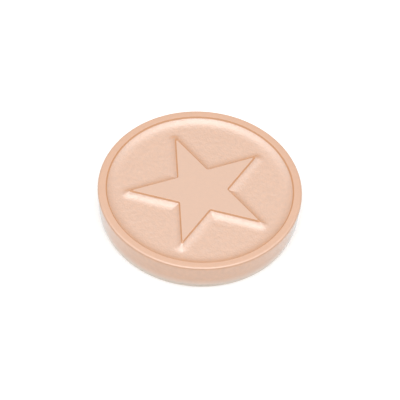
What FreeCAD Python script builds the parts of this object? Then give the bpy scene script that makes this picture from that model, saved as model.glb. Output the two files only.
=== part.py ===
"""Round rubber stamp with a star face, mounted on a cushion and a cling backing.

Frame: millimetres, +Z up out of the printing face.  The origin is the centre of
the flat underside and one tip of the star points along +Y.
"""
import FreeCAD, Part
import math
import os

V = FreeCAD.Vector
UP = V(0, 0, 1)

# Driving dimensions
STAMP_DIAMETER = 25.4      # 1 inch craft stamp, across the rim
RIM_WIDTH = 1.0            # printing ring round the face, rounded corner included
STAR_TIP_RADIUS = 8.6      # middle of the star to a tip
STAR_DROP = 0.2            # the star sits off the middle, away from its upper tip
SIDE_LEAN = 0.25           # the side leans in by this much towards the underside
RIM_ROUND = 0.32           # rounded outer corner of the rim
FOOT_ROUND = 0.3           # rounded lower corner of the moulding

DIE_THICKNESS = 2.3        # printing face to the roof of the back pocket
POCKET_DEPTH = 1.4         # back pocket, which holds the cushion
BACKING_THICKNESS = 0.3    # cling backing
FILM_THICKNESS = 0.1       # each adhesive film
SKIRT_WIDTH = 1.5          # rubber wall left round the back pocket

WALL_DEPTH = 0.2           # steep wall under the rim and under the star
WALL_DRAFT = 0.14          # the steep wall leans out by this much
ENGRAVING_DEPTH = 0.66     # printing face to the engraved field
SHOULDER_RUN = 1.2         # width of the sloped shoulder at the foot of a wall

WALL_ROOT = 0.2            # the star's wall runs on this far below the field
SHOULDER_ROOT = 0.01       # the star's shoulder runs on this far below the field

CUSHION_CLEARANCE = 0.2    # room for the cushion to spread in its pocket
FILM_SETBACK = 0.35        # film edge behind the edge of the backing
BACKING_SETBACK = 0.2      # backing edge behind the foot of the moulding

# Derived sizes
OUTER_RADIUS = STAMP_DIAMETER / 2
FOOT_RADIUS = OUTER_RADIUS - SIDE_LEAN
RIM_INNER_RADIUS = OUTER_RADIUS - RIM_WIDTH
BACKING_RADIUS = FOOT_RADIUS - BACKING_SETBACK
POCKET_RADIUS = FOOT_RADIUS - SKIRT_WIDTH
CUSHION_RADIUS = POCKET_RADIUS - CUSHION_CLEARANCE
CUSHION_THICKNESS = POCKET_DEPTH - FILM_THICKNESS
# A regular five-pointed star: its edges line up in pairs across the star.
NOTCH_TO_TIP = math.sin(math.radians(18)) / math.sin(math.radians(54))
STAR_NOTCH_RADIUS = STAR_TIP_RADIUS * NOTCH_TO_TIP
EDGE_TO_CENTRE = STAR_TIP_RADIUS * math.sin(math.radians(18))

# Levels, from the underside up
SKIRT_Z = BACKING_THICKNESS + FILM_THICKNESS
ROOF_Z = SKIRT_Z + POCKET_DEPTH
FACE_Z = ROOF_Z + DIE_THICKNESS
FIELD_Z = FACE_Z - ENGRAVING_DEPTH
WALL_FOOT_Z = FACE_Z - WALL_DEPTH


def disc(radius, low, high):
    """A plain round layer between two levels."""
    return Part.makeCylinder(radius, high - low, V(0, 0, low), UP)


def star_outline(tip_radius, notch_radius, level):
    """Closed ten-sided star outline at one level, first tip along +Y."""
    corners = []
    for i in range(10):
        angle = math.radians(90 + 36 * i)
        radius = notch_radius if i % 2 else tip_radius
        corners.append(V(radius * math.cos(angle), radius * math.sin(angle) - STAR_DROP, level))
    return Part.makePolygon(corners + corners[:1])


def grown_star(growth, level):
    """The star outline with every edge moved outwards by growth."""
    scale = 1 + growth / EDGE_TO_CENTRE
    return star_outline(STAR_TIP_RADIUS * scale, STAR_NOTCH_RADIUS * scale, level)


def corner_round(corner_x, corner_z, radius, side):
    """Quarter round of a corner at the outer wall; side is 1 at the top and -1 at the foot."""
    centre_x = corner_x - radius
    centre_z = corner_z - side * radius
    diagonal = radius * math.sqrt(0.5)
    on_wall = V(corner_x, 0, centre_z)
    middle = V(centre_x + diagonal, 0, centre_z + side * diagonal)
    on_flat = V(centre_x, 0, corner_z)
    return on_wall, middle, on_flat


def die_body():
    """Turned part of the die: rim, engraved field, side wall and back pocket."""
    rim_wall, rim_middle, rim_flat = corner_round(OUTER_RADIUS, FACE_Z, RIM_ROUND, 1)
    foot_wall, foot_middle, foot_flat = corner_round(FOOT_RADIUS, SKIRT_Z, FOOT_ROUND, -1)
    corners = [
        rim_flat,
        V(RIM_INNER_RADIUS, 0, FACE_Z),
        V(RIM_INNER_RADIUS - WALL_DRAFT, 0, WALL_FOOT_Z),
        V(RIM_INNER_RADIUS - WALL_DRAFT - SHOULDER_RUN, 0, FIELD_Z),
        V(0, 0, FIELD_Z),
        V(0, 0, ROOF_Z),
        V(POCKET_RADIUS, 0, ROOF_Z),
        V(POCKET_RADIUS, 0, SKIRT_Z),
        foot_flat,
    ]
    edges = [Part.makeLine(a, b) for a, b in zip(corners, corners[1:])]
    edges.append(Part.Arc(foot_flat, foot_middle, foot_wall).toShape())
    edges.append(Part.makeLine(foot_wall, rim_wall))
    edges.append(Part.Arc(rim_wall, rim_middle, rim_flat).toShape())
    section = Part.Face(Part.Wire(edges))
    return section.revolve(V(0, 0, 0), UP, 360)


def star_relief():
    """Raised star: a flat top, a steep wall and a sloped shoulder at its foot."""
    wall = Part.makeLoft([grown_star(WALL_DRAFT, FIELD_Z - WALL_ROOT), grown_star(0, FACE_Z)], True, True)
    shoulder_foot = star_outline(
        STAR_TIP_RADIUS + SHOULDER_RUN,
        STAR_NOTCH_RADIUS * (1 + SHOULDER_RUN / EDGE_TO_CENTRE),
        FIELD_Z - SHOULDER_ROOT,
    )
    shoulder_top = grown_star(WALL_DRAFT, WALL_FOOT_Z)
    shoulder = Part.makeLoft([shoulder_foot, shoulder_top], True, True)
    return wall.fuse(shoulder)


def stamp_die():
    """One rubber moulding: printing ring, star, engraved field and skirt."""
    return die_body().fuse(star_relief()).removeSplitter()


def build():
    """Every piece of the stamp by node name."""
    return {
        "stamp_die": stamp_die(),
        "cushion_adhesive": disc(CUSHION_RADIUS, ROOF_Z - FILM_THICKNESS, ROOF_Z),
        "cushion_pad": disc(CUSHION_RADIUS, SKIRT_Z, SKIRT_Z + CUSHION_THICKNESS),
        "backing_adhesive": disc(BACKING_RADIUS - FILM_SETBACK, BACKING_THICKNESS, SKIRT_Z),
        "cling_backing": disc(BACKING_RADIUS, 0, BACKING_THICKNESS),
    }


os.makedirs("parts", exist_ok=True)
for name, shape in build().items():
    shape.exportStep(os.path.join("parts", name + ".step"))
    print(name, "volume", round(shape.Volume, 2), "solids", len(shape.Solids), "valid", shape.isValid())
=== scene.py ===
"""Round rubber stamp with a star face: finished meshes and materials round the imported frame.

Every length is in metres in the frame's own axes: +Z out of the printing face and
+Y towards one tip of the star.
"""

import math

import bmesh
import bpy
from mathutils import Matrix, Vector, geometry, noise


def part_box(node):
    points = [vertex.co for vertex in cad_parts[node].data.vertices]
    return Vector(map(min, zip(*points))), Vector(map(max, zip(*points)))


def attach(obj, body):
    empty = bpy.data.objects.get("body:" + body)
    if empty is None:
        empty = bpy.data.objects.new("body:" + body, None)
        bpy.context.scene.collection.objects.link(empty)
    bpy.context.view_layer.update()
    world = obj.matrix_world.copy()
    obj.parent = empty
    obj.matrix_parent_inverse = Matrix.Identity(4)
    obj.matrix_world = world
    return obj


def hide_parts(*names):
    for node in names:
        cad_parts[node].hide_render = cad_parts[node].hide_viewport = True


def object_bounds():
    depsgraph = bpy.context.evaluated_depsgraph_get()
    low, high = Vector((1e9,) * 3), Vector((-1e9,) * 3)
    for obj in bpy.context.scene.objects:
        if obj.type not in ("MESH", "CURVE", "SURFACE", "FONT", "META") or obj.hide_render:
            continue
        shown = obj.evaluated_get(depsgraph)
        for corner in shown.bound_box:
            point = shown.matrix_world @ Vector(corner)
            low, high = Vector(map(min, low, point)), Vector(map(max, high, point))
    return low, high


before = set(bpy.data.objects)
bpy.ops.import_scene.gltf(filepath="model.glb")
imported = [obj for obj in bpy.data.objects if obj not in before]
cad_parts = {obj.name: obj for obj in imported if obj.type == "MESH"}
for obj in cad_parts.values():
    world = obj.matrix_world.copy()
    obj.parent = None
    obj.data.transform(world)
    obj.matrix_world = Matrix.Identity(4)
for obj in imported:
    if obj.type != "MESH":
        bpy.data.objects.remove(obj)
cad_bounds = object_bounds()

bl_info = {
    "name": "Star Rubber Stamp",
    "version": (1, 0, 0),
    "blender": (4, 5, 0),
    "location": "3D View > Sidebar > Stamp",
    "description": "Builds a round cushion-mounted rubber stamp with a star face",
    "category": "Add Mesh",
}

MM = 0.001
BODY = "root"
TIP_HALF_ANGLE = math.radians(18)
NOTCH_TURN = math.radians(36)
TIP_TURN = math.radians(72)
QUARTER = math.radians(90)
TOP_LEAN = math.radians(76)
ROUND_STEPS = 360
FACE_MARGIN = 0.16 * MM
FLAT_SPACING = 0.7 * MM
# A sunflower spiral of this scale gives each point about one square spacing.
SPIRAL_SCALE = 0.53
EDGE_BEVELS = 4
RIM_STEPS = 4
CORNER_STEPS = 10
FOOT_STEPS = 8
SHEET_EDGE_STEPS = 4
# Where rings lie down a wall, a side and a sheet's edge, and across a shoulder, as shares of the whole.
WALL_RINGS = (0.5, 1)
SIDE_RINGS = (0.15, 0.35, 0.6, 0.85)
SHEET_RINGS = (0.2, 0.4, 0.6, 0.8)
SHOULDER_RINGS = (0.02, 0.06, 0.12, 0.2, 0.3)
# The ring halfway round a printing edge, where the wall's finish starts.
WALL_START = 4
SHEET_FLAT_SHARE = 0.97
# Edge rounds of the foam and of the films, as shares of the vinyl's.
FOAM_EDGE_SHARE = 3
FILM_EDGE_SHARE = 0.5
MERGE_DISTANCE = 1e-6
POCKET_GAP = 0.2 * MM
POCKET_CORNER = 0.05 * MM
STAR_ZONE, FIELD_ZONE, SIDE_ZONE, WALL_ZONE, RIM_ZONE = range(5)

# Roughness, colour mottling, grain depth and strength of the reflections of each zone of the rubber.
STAR_FINISH = (0.4, 0.03, 0.006 * MM, 1.0)
FIELD_FINISH = (0.42, 0.08, 0.038 * MM, 1.0)
SIDE_FINISH = (0.4, 0.08, 0.008 * MM, 0.6)
WALL_FINISH = (0.5, 0.02, 0.0015 * MM, 0.43)
RIM_FINISH = (0.4, 0.03, 0.006 * MM, 0.82)
RUBBER_IOR = 2.5
ROUGHNESS_SPREAD = 0.03
MOTTLE_SIZE = 0.5 * MM
HAZE_SIZE = 0.7 * MM
GRAIN_SIZE = 0.22 * MM
# The band that noise values mostly fall in.
NOISE_LOW = 0.3
NOISE_HIGH = 0.7
# Painted shade: the side takes the rubber's colour made darker, for the lesser light it receives.
SIDE_PAINTED_SHADE = 0.88
SIDE_SHEEN = 0.5
SIDE_SHEEN_ROUGHNESS = 0.3
SIDE_SHEEN_TINT = (0.42, 0.72, 0.86)
SIDE_COAT = 0.75
SIDE_COAT_ROUGHNESS = 0.25
# Share of the die's height over which the painted floor light at the foot of the side fades out.
FOOT_LIGHT_SHARE = 0.5
# Roughness, speckle strength and speckle size of the layers.
FOAM_FINISH = (0.8, 0.12, 0.25 * MM)
FILM_FINISH = (0.3, 0.04, 0.6 * MM)
VINYL_FINISH = (0.45, 0.03, 0.35 * MM)
SPECKLE_LOW = 0.35
SPECKLE_HIGH = 0.65
SPECKLE_ROUGHNESS = 0.6
SPECKLE_DEPTH = 0.1
SHEET_ROUGHNESS_SPREAD = 0.05

FLOOR_HALF = 1.5
FLOOR_ROUGHNESS = 0.8
# The floor lies this far above the underside, so that the two never share a plane.
FLOOR_LIFT = 0.005 * MM
SENSOR_WIDTH = 36
CLIP_START = 0.01


# ---------------------------------------------------------------- settings


def length(name, description, default):
    """A length setting in metres."""
    return bpy.props.FloatProperty(
        name=name, description=description, default=default, min=0, precision=6, unit="LENGTH"
    )


def colour(name, description, default):
    """A linear colour setting."""
    return bpy.props.FloatVectorProperty(
        name=name, description=description, default=default, size=3, min=0, max=1, subtype="COLOR"
    )


def degrees(name, description, default):
    """An angle setting."""
    return bpy.props.FloatProperty(
        name=name, description=description, default=math.radians(default), subtype="ANGLE"
    )


def watts(name, description, default):
    """A lamp's power setting in watts."""
    return bpy.props.FloatProperty(
        name=name, description=description, default=default, min=0, unit="POWER"
    )


def number(name, description, default, low=0.0):
    """A plain number that is never below low."""
    return bpy.props.FloatProperty(
        name=name, description=description, default=default, min=low, precision=4
    )


class StampDieSettings(bpy.types.PropertyGroup):
    """Sizes and colours of the rubber die."""

    rim_width: length("Rim Width", "Printing ring, rounded corner included", 1.02 * MM)
    rim_round: length("Rim Round", "Radius of the rim's outer corner", 0.32 * MM)
    rim_crown: length("Rim Crown", "How far the rim's top falls outwards", 0.01 * MM)
    foot_round: length("Foot Round", "Radius of the lower corner", 0.3 * MM)
    side_lean: length("Side Lean", "How far the side leans in at its foot", 0.25 * MM)
    star_drop: length("Star Drop", "How far the star sits off the middle", 0.2 * MM)
    tip_radius: length("Star Radius", "Middle of the star to a tip", 8.63 * MM)
    tip_round: length("Tip Round", "Radius of the star's tips", 0.1 * MM)
    tip_ridge: length("Tip Ridge", "How far the ridge beyond a tip stays sharp", 0.55 * MM)
    notch_round: length("Notch Round", "Radius of the star's inner corners", 0.3 * MM)
    edge_round: length("Edge Round", "Radius of the printing edges", 0.05 * MM)
    wall_drop: length("Wall Depth", "Depth of the steep wall", 0.2 * MM)
    wall_run: length("Wall Run", "Width of the steep wall seen from above", 0.14 * MM)
    engraving: length("Engraving Depth", "Printing face to the engraved field", 0.66 * MM)
    shoulder: length("Shoulder Width", "Width of the slope at the foot of a wall", 1.7 * MM)
    shoulder_curve: number("Shoulder Curve", "How hollow the shoulder is; 1 is straight", 2.8, 1)
    tip_narrowing: number("Tip Narrowing", "Shoulder width at a tip, as a share of the full one", 0.85, 0.1)
    pebble: length("Pebble Size", "Spacing of the field's pebbles", 0.5 * MM)
    pebble_height: length("Pebble Height", "Height of the field's pebbles", 0.018 * MM)
    swell: length("Swell Size", "Spacing of the field's broad waves", 1.3 * MM)
    swell_height: length("Swell Height", "Height of the field's broad waves", 0.014 * MM)
    grain: length("Mesh Spacing", "Spacing of the field's mesh points", 0.13 * MM)
    rubber: colour("Rubber", "Colour of the rubber", (0.54, 0.235, 0.08))
    # Painted shade: the rim's top takes a fuller copy of the rubber's colour, for the weaker reflection it
    # catches.
    rim_painted_shade: colour("Rim Rubber", "Colour of the rim's top, a little fuller", (0.56, 0.24, 0.08))
    # Painted light: a pale tint at the foot of the side stands in for the floor's light reflected there.
    painted_foot_light: colour("Painted Foot Light", "Colour of the bloom at the foot of the side", (0.56, 0.45, 0.37))


class StampMountSettings(bpy.types.PropertyGroup):
    """Sizes and colours of the layers under the die."""

    edge_round: length("Sheet Edge", "Radius of a cut sheet's edges", 0.04 * MM)
    foam_bulge: length("Foam Bulge", "How far the cushion's side swells", 0.12 * MM)
    foam: colour("Foam", "Colour of the cushion", (0.62, 0.58, 0.52))
    film: colour("Film", "Colour of the adhesive film", (0.78, 0.74, 0.64))
    vinyl: colour("Vinyl", "Colour of the cling backing", (0.66, 0.58, 0.5))


class StampStudioSettings(bpy.types.PropertyGroup):
    """Camera, light and floor."""

    azimuth: degrees("Azimuth", "Camera's turn round the stamp", -24.1)
    elevation: degrees("Elevation", "Camera's height above the floor", 50.9)
    roll: degrees("Roll", "Camera's turn about its own view", 4.0)
    distance: length("Distance", "Camera to the middle of the stamp", 0.38)
    view_width: length("View Width", "Width of the view at the stamp", 49.8 * MM)
    shift_right: number("Shift Right", "View's middle right of the stamp, in view widths", 0.0018)
    shift_down: number("Shift Down", "View's middle below the stamp, in view widths", 0.0038)
    softbox_size: length("Softbox Size", "Width of each softbox", 0.34)
    softbox_distance: length("Softbox Distance", "Softbox to the stamp", 0.45)
    side_elevation: degrees("Side Elevation", "Height of the side softboxes", 50)
    top_power: watts("Top Power", "Power of the overhead softbox", 0.5)
    side_power: watts("Side Power", "Power of each side softbox", 0.25)
    sky: number("Tent Light", "Light from overhead", 1.1)
    horizon: number("Horizon Light", "Light from the sides", 0.68)
    floor: colour("Floor", "Colour of the floor", (0.93, 0.93, 0.93))
    floor_glow: number("Floor Glow", "Light from the floor close to the stamp", 0.12)
    glow_width: length("Glow Width", "How far the floor's glow reaches past the stamp", 8 * MM)


# ---------------------------------------------------------------- outlines


def polar(radius, angle):
    """A point in the plane."""
    return Vector((radius * math.cos(angle), radius * math.sin(angle)))


def circle(radius):
    """A full circle of points."""
    return [polar(radius, math.tau * i / ROUND_STEPS) for i in range(ROUND_STEPS)]


def between(start, end, steps):
    """Points strictly between two points."""
    return [start.lerp(end, i / steps) for i in range(1, steps)]


class StarOutline:
    """A regular five-pointed star with rounded corners, and its parallel outlines."""

    TIP_STEPS = 12
    NOTCH_STEPS = 8
    EDGE_STEPS = 22
    SEARCH_STEPS = 16
    SHARPEST = 0.004 * MM
    SHARPEST_NOTCH = 0.15 * MM

    def __init__(self, sizes):
        self.tip_radius = sizes.tip_radius
        self.tip_round = sizes.tip_round
        self.ridge = sizes.tip_ridge
        self.notch_round = sizes.notch_round
        self.centre_y = -sizes.star_drop
        self.edge_to_centre = sizes.tip_radius * math.sin(TIP_HALF_ANGLE)
        self.notch_radius = self.edge_to_centre / math.cos(NOTCH_TURN)

    def tip_circle(self, offset):
        """Distance from the star's middle, and radius, of the circle that rounds a tip."""
        spread = 1 - math.exp(-max(offset, 0) / self.ridge)
        radius = max(self.tip_round + offset * spread, self.SHARPEST)
        return self.tip_radius + (offset - radius) / math.sin(TIP_HALF_ANGLE), radius

    def tip_arc(self, angle, offset):
        """Arc round one tip of the outline that lies offset outside the star."""
        reach, radius = self.tip_circle(offset)
        centre = polar(reach, angle)
        turns = [-TIP_TURN + 2 * TIP_TURN * i / self.TIP_STEPS for i in range(self.TIP_STEPS + 1)]
        return [centre + polar(radius, angle + turn) for turn in turns]

    def notch_arc(self, angle, offset):
        """Arc in one inner corner of the outline that lies offset outside the star."""
        radius = max(self.notch_round - offset, self.SHARPEST_NOTCH)
        centre = polar(self.notch_radius + (offset + radius) / math.cos(NOTCH_TURN), angle)
        turns = [NOTCH_TURN - 2 * NOTCH_TURN * i / self.NOTCH_STEPS for i in range(self.NOTCH_STEPS + 1)]
        return [centre - polar(radius, angle + turn) for turn in turns]

    def ring(self, offset):
        """Closed outline at a distance outside the star, or inside it where offset is negative."""
        arcs = []
        for i in range(5):
            angle = math.radians(90 + 72 * i)
            arcs.append(self.tip_arc(angle, offset))
            arcs.append(self.notch_arc(angle + NOTCH_TURN, offset))
        points = []
        for arc, following in zip(arcs, arcs[1:] + arcs[:1]):
            points += arc + between(arc[-1], following[0], self.EDGE_STEPS)
        return [Vector((point.x, point.y + self.centre_y)) for point in points]

    def distance(self, x, y):
        """Offset of the outline through a point, negative inside the star."""
        angle = math.atan2(x, y - self.centre_y) % TIP_TURN
        point = polar(math.hypot(x, y - self.centre_y), min(angle, TIP_TURN - angle))
        offset = point.dot(polar(1, TIP_TURN)) - self.edge_to_centre
        if offset <= 0 or not self.past_edge(point, offset):
            return offset
        low = offset
        high = point.length
        for _ in range(self.SEARCH_STEPS):
            offset = (low + high) / 2
            centre, radius = self.tip_circle(offset)
            if self.past_edge(point, offset) and (point - Vector((centre, 0))).length > radius:
                low = offset
            else:
                high = offset
        return offset

    def past_edge(self, point, offset):
        """Whether a point lies beyond the straight part of the outline, round the tip."""
        return (point - Vector((self.tip_circle(offset)[0], 0))).dot(polar(1, -TIP_HALF_ANGLE)) > 0


# ---------------------------------------------------------------- meshes


def encloses(loop, point):
    """Whether a closed loop of vertices goes round a point, seen from above."""
    crossings = 0
    for a, b in zip(loop, loop[1:] + loop[:1]):
        if (a.co.y > point.y) != (b.co.y > point.y):
            share = (point.y - a.co.y) / (b.co.y - a.co.y)
            crossings += a.co.x + (b.co.x - a.co.x) * share > point.x
    return crossings % 2 == 1


class SurfaceBuilder:
    """Collects rings and fills of one closed surface."""

    def __init__(self):
        self.mesh = bmesh.new()

    def ring(self, points, height):
        """New vertices at one height."""
        return [self.mesh.verts.new((p.x, p.y, height)) for p in points]

    def bridge(self, lower, upper, zone=0):
        """Quads between two rings with the same number of vertices."""
        count = len(lower)
        for i in range(count):
            j = (i + 1) % count
            face = self.mesh.faces.new((lower[i], lower[j], upper[j], upper[i]))
            face.material_index = zone
            face.smooth = True

    def bands(self, rings, zone=0):
        """Quads between each ring and the next one."""
        for lower, upper in zip(rings, rings[1:]):
            self.bridge(lower, upper, zone)

    def fill(self, outer, holes, seeds, zone=0):
        """Triangles between a closed loop and its holes, with new vertices at the seed points."""
        edges = []
        verts = []
        for loop in [outer] + holes:
            first = len(verts)
            verts += loop
            edges += [(first + i, first + (i + 1) % len(loop)) for i in range(len(loop))]
        on_loops = len(verts)
        verts = verts + [self.mesh.verts.new(seed) for seed in seeds]
        flat = [Vector((v.co.x, v.co.y)) / MM for v in verts]
        points, _, faces, origins, _, _ = geometry.delaunay_2d_cdt(flat, edges, [], 0, MERGE_DISTANCE, True)
        for corners in faces:
            sources = [origins[i][0] for i in corners]
            middle = sum((points[i] for i in corners), Vector((0, 0))) / 3 * MM
            touches_seed = max(sources) >= on_loops
            in_hole = any(encloses(hole, middle) for hole in holes)
            if touches_seed or (encloses(outer, middle) and not in_hole):
                face = self.mesh.faces.new([verts[i] for i in sources])
                face.material_index = zone
                face.smooth = True

    def cap(self, ring, height, zone=0):
        """Closes a ring with a fan of triangles."""
        centre = self.mesh.verts.new((0, 0, height))
        for i, vert in enumerate(ring):
            face = self.mesh.faces.new((vert, ring[(i + 1) % len(ring)], centre))
            face.material_index = zone
            face.smooth = True

    def finish(self, name, materials):
        """The finished object, with its faces turned outwards."""
        loose = [v for v in self.mesh.verts if not v.link_faces]
        bmesh.ops.delete(self.mesh, geom=loose, context="VERTS")
        bmesh.ops.recalc_face_normals(self.mesh, faces=self.mesh.faces)
        data = bpy.data.meshes.new(name)
        self.mesh.to_mesh(data)
        self.mesh.free()
        for material in materials:
            data.materials.append(material)
        piece = bpy.data.objects.new(name, data)
        bpy.context.scene.collection.objects.link(piece)
        return piece


def arc_section(centre_x, centre_z, radius, start, end, steps):
    """Points (radius, height) of an arc in a turned section."""
    angles = [start + (end - start) * i / steps for i in range(steps + 1)]
    return [(centre_x + radius * math.cos(a), centre_z + radius * math.sin(a)) for a in angles]


def spiral_seeds(radius, spacing):
    """Evenly spread points of a sunflower spiral inside a circle."""
    golden = math.pi * (3 - math.sqrt(5))
    scale = spacing * SPIRAL_SCALE
    count = int((radius / scale) ** 2)
    return [polar(scale * math.sqrt(i), golden * i) for i in range(count)]


def smooth_step(low, high, value):
    """0 below low, 1 above high and smooth between."""
    t = min(max((value - low) / (high - low), 0), 1)
    return t * t * (3 - 2 * t)


# ---------------------------------------------------------------- materials


def new_material(name):
    """An empty node material: its tree, its shader and its object coordinates."""
    material = bpy.data.materials.new(name)
    material.use_nodes = True
    nodes = material.node_tree.nodes
    shader = nodes["Principled BSDF"]
    place = nodes.new("ShaderNodeTexCoord")
    return material, material.node_tree, shader, place.outputs["Object"]


def noise_node(tree, place, size, detail=3.0, roughness=0.5):
    """Noise whose blobs are about size across."""
    node = tree.nodes.new("ShaderNodeTexNoise")
    node.inputs["Scale"].default_value = 1 / size
    node.inputs["Detail"].default_value = detail
    node.inputs["Roughness"].default_value = roughness
    tree.links.new(place, node.inputs["Vector"])
    return node.outputs["Fac"]


def ramp_node(tree, value, stops):
    """Colours along a value."""
    node = tree.nodes.new("ShaderNodeValToRGB")
    elements = node.color_ramp.elements
    while len(elements) < len(stops):
        elements.new(0.5)
    for element, (position, tint) in zip(elements, stops):
        element.position = position
        element.color = (*tint, 1)
    tree.links.new(value, node.inputs["Fac"])
    return node.outputs["Color"]


def range_node(tree, value, low, high):
    """Maps a noise value to a range."""
    node = tree.nodes.new("ShaderNodeMapRange")
    node.inputs["From Min"].default_value = NOISE_LOW
    node.inputs["From Max"].default_value = NOISE_HIGH
    node.inputs["To Min"].default_value = low
    node.inputs["To Max"].default_value = high
    tree.links.new(value, node.inputs["Value"])
    return node.outputs["Result"]


def bump_node(tree, value, depth):
    """Bump of a depth in metres."""
    node = tree.nodes.new("ShaderNodeBump")
    node.inputs["Strength"].default_value = 1
    node.inputs["Distance"].default_value = depth
    tree.links.new(value, node.inputs["Height"])
    return node.outputs["Normal"]


def shade(tint, factor):
    """A colour made lighter or darker."""
    return tuple(min(channel * factor, 1) for channel in tint)


def rubber_material(name, tint, finish):
    """Satin rubber with soft mottling and a fine grain."""
    gloss, mottle, grain_depth, reflection = finish
    material, tree, shader, place = new_material(name)
    blotches = noise_node(tree, place, MOTTLE_SIZE, 4)
    stops = [(NOISE_LOW, shade(tint, 1 - mottle)), (NOISE_HIGH, shade(tint, 1 + mottle))]
    tone = ramp_node(tree, blotches, stops)
    tree.links.new(tone, shader.inputs["Base Color"])
    haze = noise_node(tree, place, HAZE_SIZE, 3)
    roughness = range_node(tree, haze, gloss - ROUGHNESS_SPREAD, gloss + ROUGHNESS_SPREAD)
    tree.links.new(roughness, shader.inputs["Roughness"])
    grain = noise_node(tree, place, GRAIN_SIZE, 2)
    tree.links.new(bump_node(tree, grain, grain_depth), shader.inputs["Normal"])
    shader.inputs["IOR"].default_value = RUBBER_IOR
    shader.inputs["Specular IOR Level"].default_value = reflection
    return material


def side_material(name, tint, painted_foot_light, fade_height):
    """The rubber of the moulded side, with painted floor light: a pale tint at the foot that fades upwards.
    """
    material = rubber_material(name, tint, SIDE_FINISH)
    tree = material.node_tree
    shader = tree.nodes["Principled BSDF"]
    shader.inputs["Sheen Weight"].default_value = SIDE_SHEEN
    shader.inputs["Sheen Roughness"].default_value = SIDE_SHEEN_ROUGHNESS
    shader.inputs["Sheen Tint"].default_value = (*SIDE_SHEEN_TINT, 1)
    shader.inputs["Coat Weight"].default_value = SIDE_COAT
    shader.inputs["Coat Roughness"].default_value = SIDE_COAT_ROUGHNESS
    tone = shader.inputs["Base Color"].links[0].from_socket
    place = tree.nodes.new("ShaderNodeTexCoord")
    split = tree.nodes.new("ShaderNodeSeparateXYZ")
    fade = tree.nodes.new("ShaderNodeMapRange")
    fade.interpolation_type = "SMOOTHSTEP"
    fade.inputs["From Min"].default_value = 0
    fade.inputs["From Max"].default_value = fade_height
    fade.inputs["To Min"].default_value = 1
    fade.inputs["To Max"].default_value = 0
    blend = tree.nodes.new("ShaderNodeMix")
    blend.data_type = "RGBA"
    blend.inputs["B"].default_value = (*painted_foot_light, 1)
    tree.links.new(place.outputs["Object"], split.inputs["Vector"])
    tree.links.new(split.outputs["Z"], fade.inputs["Value"])
    tree.links.new(fade.outputs["Result"], blend.inputs["Factor"])
    tree.links.new(tone, blend.inputs["A"])
    tree.links.new(blend.outputs["Result"], shader.inputs["Base Color"])
    return material


def sheet_material(name, tint, finish):
    """A film, foam or vinyl with a fine speckle."""
    gloss, speck, size = finish
    material, tree, shader, place = new_material(name)
    specks = noise_node(tree, place, size, 3, SPECKLE_ROUGHNESS)
    stops = [(SPECKLE_LOW, shade(tint, 1 - speck)), (SPECKLE_HIGH, shade(tint, 1 + speck))]
    tone = ramp_node(tree, specks, stops)
    tree.links.new(tone, shader.inputs["Base Color"])
    roughness = range_node(tree, specks, gloss - SHEET_ROUGHNESS_SPREAD, gloss + SHEET_ROUGHNESS_SPREAD)
    tree.links.new(roughness, shader.inputs["Roughness"])
    tree.links.new(bump_node(tree, specks, size * SPECKLE_DEPTH), shader.inputs["Normal"])
    return material


# ---------------------------------------------------------------- the die


def wall_section(sizes):
    """(distance from a printing edge, depth) from the printing face down the steep wall."""
    slope = math.atan2(sizes.wall_drop, sizes.wall_run)
    turned = sizes.edge_round * math.sin(slope)
    lowered = sizes.edge_round * (1 - math.cos(slope))
    section = [(-FACE_MARGIN, 0), (-FACE_MARGIN / 2, 0)]
    for i in range(EDGE_BEVELS + 1):
        angle = slope * i / EDGE_BEVELS
        fall = sizes.edge_round * (1 - math.cos(angle))
        section.append((sizes.edge_round * math.sin(angle) - turned, fall))
    for share in WALL_RINGS:
        section.append((sizes.wall_run * share, lowered + (sizes.wall_drop - lowered) * share))
    return section


def shoulder_height(sizes, distance, width_share=1.0):
    """Height of a shoulder above the field at a distance from its printing edge."""
    share = min(max((distance - sizes.wall_run) / (sizes.shoulder * width_share), 0), 1)
    return (sizes.engraving - sizes.wall_drop) * (1 - share) ** sizes.shoulder_curve


def side_section(sizes, low, high):
    """(radius, height) from the rim's top, down the side and into the back pocket."""
    film_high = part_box("cushion_adhesive")[1]
    roof = film_high.z
    pocket = film_high.x + POCKET_GAP
    radius = high.x
    foot = radius - sizes.side_lean
    rim = radius - sizes.rim_width
    section = []
    for i in range(RIM_STEPS):
        share = (i + 1) / RIM_STEPS
        reach = rim + FACE_MARGIN + (radius - sizes.rim_round - rim - FACE_MARGIN) * share
        section.append((reach, high.z - sizes.rim_crown * share * share))
    corner_z = high.z - sizes.rim_crown - sizes.rim_round
    corner_x = radius - sizes.rim_round
    section += arc_section(corner_x, corner_z, sizes.rim_round, QUARTER, 0, CORNER_STEPS)[1:]
    side_foot = low.z + sizes.foot_round
    for share in SIDE_RINGS:
        section.append((radius - sizes.side_lean * share, corner_z + (side_foot - corner_z) * share))
    section += arc_section(foot - sizes.foot_round, side_foot, sizes.foot_round, 0, -QUARTER, FOOT_STEPS)
    section += [(pocket + POCKET_CORNER, low.z), (pocket, low.z + POCKET_CORNER)]
    section += [(pocket, roof - POCKET_CORNER), (pocket - POCKET_CORNER, roof)]
    return section, roof


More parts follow.
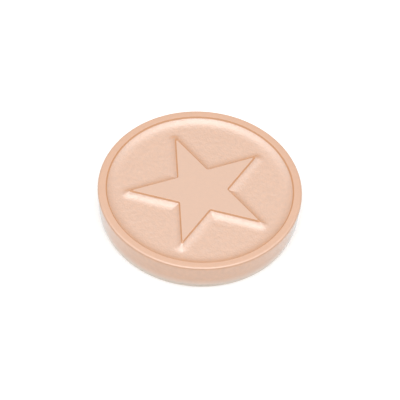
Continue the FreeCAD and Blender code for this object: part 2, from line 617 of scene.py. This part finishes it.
def build_die(sizes):
    """The rubber die: star, rim, shoulders, pebbled field, side and back pocket."""
    low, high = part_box("stamp_die")
    star = StarOutline(sizes)
    rim = high.x - sizes.rim_width
    top = high.z

    def ground(x, y):
        """Height of the engraved face: shoulders, field and pebbles."""
        gaps = star.distance(x, y), rim - math.hypot(x, y)
        reach = math.hypot(x, y - star.centre_y)
        outward = smooth_step(star.notch_radius, star.tip_radius, reach)
        width_share = 1 - (1 - sizes.tip_narrowing) * outward
        raised = shoulder_height(sizes, gaps[0], width_share) + shoulder_height(sizes, gaps[1])
        fine = noise.noise(Vector((x, y, 0)) / sizes.pebble)
        broad = noise.noise(Vector((x, y, 0)) / sizes.swell)
        calm = smooth_step(sizes.wall_run, sizes.shoulder, min(gaps))
        texture = sizes.pebble_height * fine + sizes.swell_height * broad
        return top - sizes.engraving + raised + calm * texture

    surface = SurfaceBuilder()
    walls = wall_section(sizes)
    last = sizes.wall_run + sizes.shoulder * SHOULDER_RINGS[-1]
    inner_rings = []
    for outline, zone in ((star.ring, STAR_ZONE), (lambda gap: circle(rim - gap), RIM_ZONE)):
        wall_rings = [surface.ring(outline(gap), top - drop) for gap, drop in walls]
        ground_rings = [wall_rings[-1]]
        for share in SHOULDER_RINGS:
            ring = surface.ring(outline(sizes.wall_run + sizes.shoulder * share), 0)
            for vert in ring:
                vert.co.z = ground(vert.co.x, vert.co.y)
            ground_rings.append(ring)
        surface.bands(wall_rings[:WALL_START + 1], zone)
        surface.bands(wall_rings[WALL_START:], WALL_ZONE)
        surface.bands(ground_rings, FIELD_ZONE)
        inner_rings.append((wall_rings[0], ground_rings[-1]))
    (star_top, star_foot), (rim_top, rim_foot) = inner_rings

    seeds = []
    for point in spiral_seeds(rim - last, sizes.grain):
        if min(star.distance(point.x, point.y), rim - point.length) > last + sizes.grain / 2:
            seeds.append((point.x, point.y, ground(point.x, point.y)))
    surface.fill(rim_foot, [star_foot], seeds, FIELD_ZONE)
    flat_seeds = []
    for point in spiral_seeds(sizes.tip_radius, FLAT_SPACING):
        if star.distance(point.x, point.y) < -FACE_MARGIN - FLAT_SPACING / 2:
            flat_seeds.append((point.x, point.y, top))
    surface.fill(star_top, [], flat_seeds, STAR_ZONE)

    side, roof = side_section(sizes, low, high)
    side_rings = [surface.ring(circle(radius), height) for radius, height in side]
    corner = RIM_STEPS + CORNER_STEPS // 2
    surface.bands([rim_top] + side_rings[:corner], RIM_ZONE)
    surface.bands(side_rings[corner - 1:], SIDE_ZONE)
    surface.cap(side_rings[-1], roof, SIDE_ZONE)

    # The painted floor light at the foot of the side fades out over this height.
    foot_light_height = FOOT_LIGHT_SHARE * (high.z - low.z)
    materials = [
        rubber_material("rubber_printing_face", sizes.rubber, STAR_FINISH),
        rubber_material("rubber_engraved", sizes.rubber, FIELD_FINISH),
        # Painted shade: the side is a darker copy of the rubber, with painted floor light at its foot.
        side_material("rubber_side", shade(sizes.rubber, SIDE_PAINTED_SHADE), sizes.painted_foot_light, foot_light_height),
        rubber_material("rubber_wall", sizes.rubber, WALL_FINISH),
        # Painted shade: the rim's top uses a fuller copy of the rubber's colour.
        rubber_material("rubber_rim", sizes.rim_painted_shade, RIM_FINISH),
    ]
    return surface.finish("star_die", materials)


# ---------------------------------------------------------------- layers


def turned_layer(name, node, material, edge_round, bulge=0.0):
    """A round layer that fills a node's box, with rounded edges and a swelling side."""
    low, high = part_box(node)
    radius = high.x - bulge
    steps = SHEET_EDGE_STEPS
    section = arc_section(radius - edge_round, high.z - edge_round, edge_round, QUARTER, 0, steps)
    height = high.z - low.z - 2 * edge_round
    for share in SHEET_RINGS:
        swell = bulge * math.sin(math.pi * share)
        section.append((radius + swell, high.z - edge_round - height * share))
    section += arc_section(radius - edge_round, low.z + edge_round, edge_round, 0, -QUARTER, steps)
    surface = SurfaceBuilder()
    rings = [surface.ring(circle(r), z) for r, z in section]
    inner_top = surface.ring(circle(radius * SHEET_FLAT_SHARE), high.z)
    inner_low = surface.ring(circle(radius * SHEET_FLAT_SHARE), low.z)
    surface.bands([inner_top] + rings + [inner_low])
    surface.cap(inner_top, high.z)
    surface.cap(inner_low, low.z)
    return surface.finish(name, [material])


# ---------------------------------------------------------------- operators


class STAMP_OT_die(bpy.types.Operator):
    """Builds the rubber die with its star, rim and engraved field"""

    bl_idname = "stamp.die"
    bl_label = "Build Rubber Die"

    def execute(self, context):
        piece = build_die(context.scene.stamp_die)
        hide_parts("stamp_die")
        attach(piece, BODY)
        return {"FINISHED"}


class STAMP_OT_cushion(bpy.types.Operator):
    """Builds the foam cushion in the back pocket of the die"""

    bl_idname = "stamp.cushion"
    bl_label = "Build Foam Cushion"

    def execute(self, context):
        sizes = context.scene.stamp_mount
        material = sheet_material("foam", sizes.foam, FOAM_FINISH)
        edge_round = FOAM_EDGE_SHARE * sizes.edge_round
        piece = turned_layer("foam_cushion", "cushion_pad", material, edge_round, sizes.foam_bulge)
        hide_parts("cushion_pad")
        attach(piece, BODY)
        return {"FINISHED"}


class STAMP_OT_films(bpy.types.Operator):
    """Builds the two adhesive films"""

    bl_idname = "stamp.films"
    bl_label = "Build Adhesive Films"

    def execute(self, context):
        sizes = context.scene.stamp_mount
        material = sheet_material("adhesive", sizes.film, FILM_FINISH)
        for name, node in (("cushion_film", "cushion_adhesive"), ("backing_film", "backing_adhesive")):
            piece = turned_layer(name, node, material, FILM_EDGE_SHARE * sizes.edge_round)
            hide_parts(node)
            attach(piece, BODY)
        return {"FINISHED"}


class STAMP_OT_backing(bpy.types.Operator):
    """Builds the cling backing that the stamp rests on"""

    bl_idname = "stamp.backing"
    bl_label = "Build Cling Backing"

    def execute(self, context):
        sizes = context.scene.stamp_mount
        material = sheet_material("vinyl", sizes.vinyl, VINYL_FINISH)
        piece = turned_layer("cling_sheet", "cling_backing", material, sizes.edge_round)
        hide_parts("cling_backing")
        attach(piece, BODY)
        return {"FINISHED"}


def add_floor(studio):
    """A wide plain floor under the stamp, with a painted glow of light on it close to the stamp."""
    half = FLOOR_HALF
    data = bpy.data.meshes.new("floor")
    corners = [(-half, -half), (half, -half), (half, half), (-half, half)]
    data.from_pydata([(x, y, FLOOR_LIFT) for x, y in corners], [], [(0, 1, 2, 3)])
    floor = bpy.data.objects.new("floor", data)
    bpy.context.scene.collection.objects.link(floor)
    material, tree, shader, place = new_material("floor_paper")
    shader.inputs["Base Color"].default_value = (*studio.floor, 1)
    shader.inputs["Roughness"].default_value = FLOOR_ROUGHNESS
    shader.inputs["Emission Color"].default_value = (1, 1, 1, 1)
    reach = tree.nodes.new("ShaderNodeVectorMath")
    reach.operation = "LENGTH"
    fade = tree.nodes.new("ShaderNodeMapRange")
    fade.inputs["From Min"].default_value = cad_bounds[1][0]
    fade.inputs["From Max"].default_value = cad_bounds[1][0] + studio.glow_width
    fade.inputs["To Min"].default_value = studio.floor_glow
    fade.inputs["To Max"].default_value = 0
    tree.links.new(place, reach.inputs[0])
    tree.links.new(reach.outputs["Value"], fade.inputs["Value"])
    tree.links.new(fade.outputs["Result"], shader.inputs["Emission Strength"])
    data.materials.append(material)


def tent_world(studio):
    """White light from all round, stronger overhead than at the horizon."""
    world = bpy.data.worlds.new("tent")
    world.use_nodes = True
    nodes = world.node_tree.nodes
    links = world.node_tree.links
    place = nodes.new("ShaderNodeTexCoord")
    split = nodes.new("ShaderNodeSeparateXYZ")
    strength = nodes.new("ShaderNodeMapRange")
    strength.inputs["To Min"].default_value = studio.horizon
    strength.inputs["To Max"].default_value = studio.sky
    links.new(place.outputs["Generated"], split.inputs["Vector"])
    links.new(split.outputs["Z"], strength.inputs["Value"])
    links.new(strength.outputs["Result"], nodes["Background"].inputs["Strength"])
    nodes["Background"].inputs["Color"].default_value = (1, 1, 1, 1)
    return world


def direction(azimuth, elevation):
    """Unit vector towards a viewpoint; azimuth 0 looks along +Y."""
    flat = math.cos(elevation)
    return Vector((math.sin(azimuth) * flat, -math.cos(azimuth) * flat, math.sin(elevation)))


def add_softbox(name, studio, azimuth, elevation, power):
    """A square area light turned towards the stamp."""
    light = bpy.data.lights.new(name, "AREA")
    light.shape = "SQUARE"
    light.size = studio.softbox_size
    light.energy = power
    lamp = bpy.data.objects.new(name, light)
    offset = studio.softbox_distance * direction(azimuth, elevation)
    lamp.matrix_world = Matrix.Translation(offset) @ offset.to_track_quat("Z", "Y").to_matrix().to_4x4()
    bpy.context.scene.collection.objects.link(lamp)


def view_axes(studio):
    """Camera axes: right, up and back."""
    back = direction(studio.azimuth, studio.elevation)
    level = Vector((math.cos(studio.azimuth), math.sin(studio.azimuth), 0))
    rise = back.cross(level)
    right = level * math.cos(studio.roll) + rise * math.sin(studio.roll)
    return right, back.cross(right), back


def add_camera(studio):
    """A long lens on the middle of the stamp."""
    low, high = cad_bounds
    middle = (Vector(low) + Vector(high)) / 2
    data = bpy.data.cameras.new("camera")
    data.sensor_width = SENSOR_WIDTH
    data.lens = data.sensor_width * studio.distance / studio.view_width
    data.clip_start = CLIP_START
    data.shift_x = studio.shift_right
    data.shift_y = -studio.shift_down
    camera = bpy.data.objects.new("camera", data)
    axes = Matrix(view_axes(studio)).transposed().to_4x4()
    camera.matrix_world = Matrix.Translation(middle + studio.distance * view_axes(studio)[2]) @ axes
    bpy.context.scene.collection.objects.link(camera)
    bpy.context.scene.camera = camera


class STAMP_OT_stage(bpy.types.Operator):
    """Sets the floor, the soft light and the camera"""

    bl_idname = "stamp.stage"
    bl_label = "Set Stage"

    def execute(self, context):
        studio = context.scene.stamp_studio
        scene = context.scene
        scene.view_settings.view_transform = "Standard"
        scene.world = tent_world(studio)
        add_floor(studio)
        add_softbox("softbox_top", studio, studio.azimuth, TOP_LEAN, studio.top_power)
        for name, turn in (("softbox_left", -QUARTER), ("softbox_right", QUARTER)):
            add_softbox(name, studio, studio.azimuth + turn, studio.side_elevation, studio.side_power)
        add_camera(studio)
        return {"FINISHED"}


class STAMP_PT_panel(bpy.types.Panel):
    """Lists the stamp's operators and settings"""

    bl_idname = "STAMP_PT_panel"
    bl_label = "Star Rubber Stamp"
    bl_space_type = "VIEW_3D"
    bl_region_type = "UI"
    bl_category = "Stamp"

    def draw(self, context):
        for operator in OPERATORS:
            self.layout.operator(operator.bl_idname)
        for name in SETTINGS:
            settings = getattr(context.scene, name)
            column = self.layout.column()
            for key in settings.__annotations__:
                column.prop(settings, key)


SETTINGS = {
    "stamp_die": StampDieSettings,
    "stamp_mount": StampMountSettings,
    "stamp_studio": StampStudioSettings,
}
OPERATORS = (STAMP_OT_die, STAMP_OT_cushion, STAMP_OT_films, STAMP_OT_backing, STAMP_OT_stage)


def register():
    """Registers the classes and adds the settings to the scene."""
    for key, settings in SETTINGS.items():
        bpy.utils.register_class(settings)
        setattr(bpy.types.Scene, key, bpy.props.PointerProperty(type=settings))
    for operator in OPERATORS:
        bpy.utils.register_class(operator)
    bpy.utils.register_class(STAMP_PT_panel)


def unregister():
    """Removes what register added."""
    bpy.utils.unregister_class(STAMP_PT_panel)
    for operator in reversed(OPERATORS):
        bpy.utils.unregister_class(operator)
    for key, settings in SETTINGS.items():
        delattr(bpy.types.Scene, key)
        bpy.utils.unregister_class(settings)


def main():
    """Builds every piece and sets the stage."""
    register()
    bpy.ops.stamp.die()
    bpy.ops.stamp.cushion()
    bpy.ops.stamp.films()
    bpy.ops.stamp.backing()
    bpy.ops.stamp.stage()


if __name__ == "__main__":
    main()
